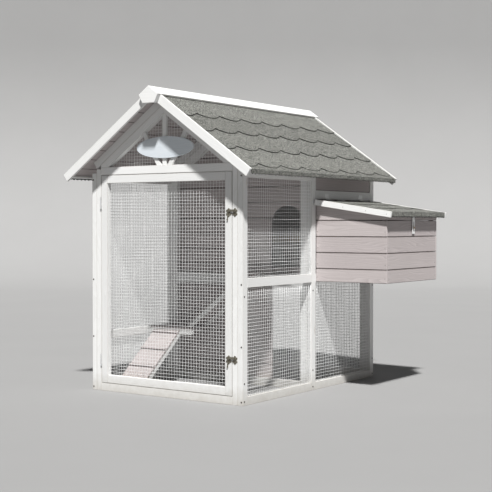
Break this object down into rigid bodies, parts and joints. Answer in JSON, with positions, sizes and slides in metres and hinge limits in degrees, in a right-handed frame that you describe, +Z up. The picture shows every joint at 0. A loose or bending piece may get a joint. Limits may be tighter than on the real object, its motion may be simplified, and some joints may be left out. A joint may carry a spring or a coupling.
{
  "type": "chicken coop",
  "caption": "Garden chicken coop: wire-fronted run under a pitched felt roof, raised timber house behind, ramps, and a side nest box with a lifting lid.",
  "frame": {"origin": "centre of the coop's footprint box, nest box and roof included, at ground level", "axes": "+Z up, -Y out of the front face with the run door, +X towards the nest box"},
  "size_m": [1.6018, 1.576, 1.6196],
  "materials": {
    "white_timber": "matt painted softwood",
    "taupe_planks": "stained softwood planks",
    "bare_timber": "bare planed softwood",
    "roof_felt": "mineral-granule roofing felt",
    "wire_mesh": "galvanised welded wire",
    "zinc_fittings": "zinc-plated steel",
    "bronze_latches": "antique bronze cast metal",
    "sign_board": "pale blue-grey painted wood"
  },
  "bodies": {
    "coop": {"left_wall_frame": "white_timber", "right_wall_frame": "white_timber", "front_frame": "white_timber", "front_gable_frame": "white_timber", "gable_struts": "white_timber", "gable_mesh": "wire_mesh", "name_plaque": "sign_board", "partition_frame": "white_timber", "rear_wall_frame": "white_timber", "rear_gable_planks": "taupe_planks", "left_upper_mesh": "wire_mesh", "left_lower_mesh": "wire_mesh", "left_rear_mesh": "wire_mesh", "right_upper_mesh": "wire_mesh", "right_lower_mesh": "wire_mesh", "right_rear_mesh": "wire_mesh", "rear_lower_mesh": "wire_mesh", "pop_hole_wall": "taupe_planks", "lower_partition_planks": "taupe_planks", "house_left_wall": "taupe_planks", "house_right_wall": "taupe_planks", "house_floor": "taupe_planks", "floor_bearers": "white_timber", "perch": "bare_timber", "perch_brackets": "white_timber", "nest_end_walls": "taupe_planks", "nest_outer_wall": "taupe_planks", "nest_floor": "taupe_planks", "nest_divider": "taupe_planks", "nest_corner_battens": "white_timber", "wall_hinge_leaves": "zinc_fittings", "hasp_staple": "zinc_fittings", "roof_rafters": "white_timber", "roof_boards": "taupe_planks", "left_felt": "roof_felt", "right_felt": "roof_felt", "eave_battens": "white_timber", "bargeboards": "white_timber", "ridge_cap": "white_timber", "ridge_end_blocks": "white_timber", "landing_boards": "taupe_planks", "landing_bearers": "white_timber", "lower_ramp": "taupe_planks", "upper_ramp": "taupe_planks", "frame_hardware": "zinc_fittings"},
    "run_door": {"door_frame": "white_timber", "door_mesh": "wire_mesh", "door_hardware": "zinc_fittings"},
    "upper_latch": {"upper_latch_hook": "bronze_latches"},
    "lower_latch": {"lower_latch_hook": "bronze_latches"},
    "nest_lid": {"lid_boards": "taupe_planks", "lid_trim": "white_timber", "lid_felt": "roof_felt", "lid_hinge_leaves": "zinc_fittings", "hasp_leaf": "zinc_fittings"},
    "lid_hasp": {"hasp_strap": "zinc_fittings"},
    "cleaning_door": {"rear_door": "taupe_planks"},
    "rear_latch": {"rear_latch_hook": "bronze_latches"},
    "droppings_tray": {"tray_base": "zinc_fittings", "tray_rim": "taupe_planks"}
  },
  "joints": [
    {"name": "run_door_hinge", "type": "hinge", "parent": "coop", "child": "run_door", "pos_m": [-0.618, -0.6656, 0.608], "axis": [0, 0, -1], "range_deg": [0, 120]},
    {"name": "upper_latch_pivot", "type": "hinge", "parent": "run_door", "child": "upper_latch", "pos_m": [0.24, -0.6655, 0.976], "axis": [0, -1, 0], "range_deg": [0, 80]},
    {"name": "lower_latch_pivot", "type": "hinge", "parent": "run_door", "child": "lower_latch", "pos_m": [0.24, -0.6655, 0.236], "axis": [0, -1, 0], "range_deg": [0, 80]},
    {"name": "nest_lid_hinge", "type": "hinge", "parent": "coop", "child": "nest_lid", "pos_m": [0.3305, 0.339, 1.049], "axis": [0, -1, 0], "range_deg": [0, 50]},
    {"name": "hasp_hinge", "type": "hinge", "parent": "nest_lid", "child": "lid_hasp", "pos_m": [0.766, 0.336, 0.956], "axis": [0, -1, 0], "range_deg": [0, 60]},
    {"name": "cleaning_door_hinge", "type": "hinge", "parent": "coop", "child": "cleaning_door", "pos_m": [-0.608, 0.6936, 0.922], "axis": [0, 0, 1], "range_deg": [0, 120]},
    {"name": "rear_latch_pivot", "type": "hinge", "parent": "cleaning_door", "child": "rear_latch", "pos_m": [0.23, 0.6935, 0.926], "axis": [0, -1, 0], "range_deg": [0, 80]},
    {"name": "tray_slide", "type": "slide", "parent": "coop", "child": "droppings_tray", "axis": [0, 1, 0], "range_m": [0, 0.5]}
  ]
}
